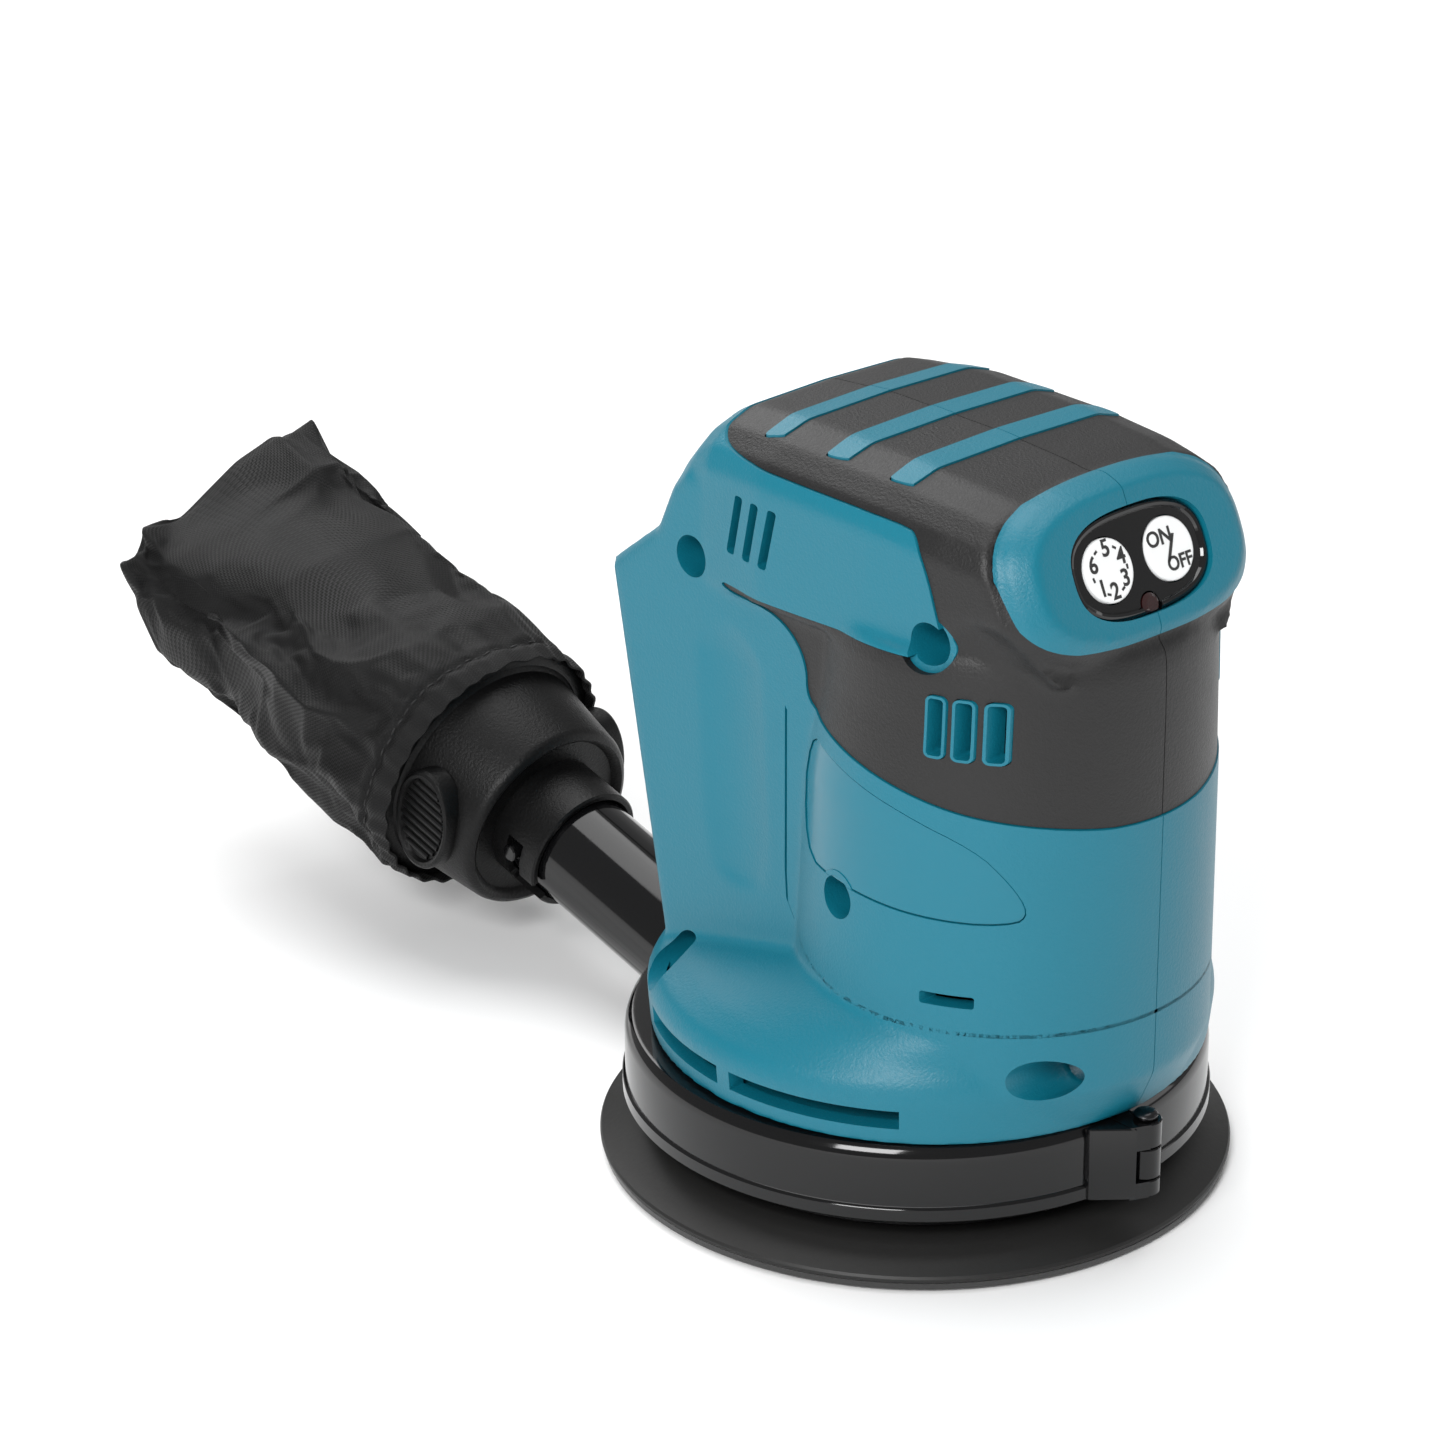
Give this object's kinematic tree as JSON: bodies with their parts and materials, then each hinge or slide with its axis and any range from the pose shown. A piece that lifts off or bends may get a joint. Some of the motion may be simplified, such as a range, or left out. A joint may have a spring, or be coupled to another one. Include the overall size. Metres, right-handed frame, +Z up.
{
  "type": "orbital sander",
  "caption": "Cordless palm random-orbit sander with a split housing, soft overmoulded head, dust ring with spout, bayonet collar and cloth dust bag.",
  "frame": {"origin": "centre of the sanding face on the motor axis", "axes": "+Z up along the motor axis, -Y the control panel at the front, +Y the dust spout and battery seat at the rear"},
  "size_m": [0.123, 0.2876, 0.1521],
  "materials": {
    "teal_shell": "fine grained moulded housing",
    "soft_grip": "soft overmould",
    "gloss_black": "glossy moulding",
    "matte_black": "satin moulding",
    "white_key": "white key",
    "lens": "tinted lens",
    "board": "circuit board",
    "steel": "bright steel",
    "alloy": "cast alloy",
    "copper": "enamelled copper winding",
    "brass": "terminal blade",
    "foam": "closed-cell foam",
    "hook": "hook cloth",
    "woven": "woven nylon"
  },
  "bodies": {
    "housing": {"housing_left": "teal_shell", "housing_right": "teal_shell", "grip_left": "soft_grip", "grip_right": "soft_grip", "control_panel": "gloss_black", "led_lens": "lens", "control_board": "board", "speed_switch": "matte_black", "power_switch": "matte_black", "terminal_block": "matte_black", "positive_blade": "brass", "signal_blade": "brass", "negative_blade": "brass", "motor_controller": "alloy", "battery_leads": "soft_grip", "stator_core": "steel", "upper_winding": "copper", "lower_winding": "copper", "upper_bearing": "steel", "bearing_bush": "soft_grip", "lower_bearing": "steel", "bearing_bracket": "alloy", "shroud_left": "gloss_black", "shroud_right": "gloss_black", "shroud_hinge_pin": "steel", "brake_ring": "soft_grip", "screw_head_rear": "steel", "screw_head_front": "steel", "screw_body": "steel", "screw_base_rear": "steel", "screw_base_front": "steel"},
    "rotor": {"rotor_shaft": "steel", "rotor_magnet": "matte_black", "fan": "matte_black", "counterweight": "steel", "pad_bearing": "steel"},
    "pad": {"pad_spindle": "alloy", "pad_hub": "matte_black", "pad_foam": "foam", "hook_face": "hook", "pad_screw_1": "steel", "pad_screw_2": "steel", "pad_screw_3": "steel", "pad_screw_4": "steel"},
    "speed_key": {"speed_button": "white_key"},
    "power_key": {"power_button": "white_key"},
    "bag": {"bag_collar": "matte_black", "dust_bag": "woven", "bag_clamp_ring": "steel"}
  },
  "joints": [
    {"name": "motor_spin", "type": "hinge", "parent": "housing", "child": "rotor", "pos_m": [0, 0, 0.03], "axis": [0, 0, 1], "continuous": true},
    {"name": "pad_spin", "type": "hinge", "parent": "rotor", "child": "pad", "pos_m": [0.00094, 0.00104, 0.02], "axis": [0, 0, 1], "continuous": true},
    {"name": "speed_key_press", "type": "slide", "parent": "housing", "child": "speed_key", "axis": [0, 0.9107, -0.4131], "range_m": [0, 0.0008], "stiffness_N_per_m": 500},
    {"name": "power_key_press", "type": "slide", "parent": "housing", "child": "power_key", "axis": [0, 0.9107, -0.4131], "range_m": [0, 0.0008], "stiffness_N_per_m": 500},
    {"name": "bag_twist", "type": "hinge", "parent": "housing", "child": "bag", "pos_m": [0, 0.05, 0.0137], "axis": [0, 0.9613, 0.2756], "range_deg": [0, 32]}
  ]
}
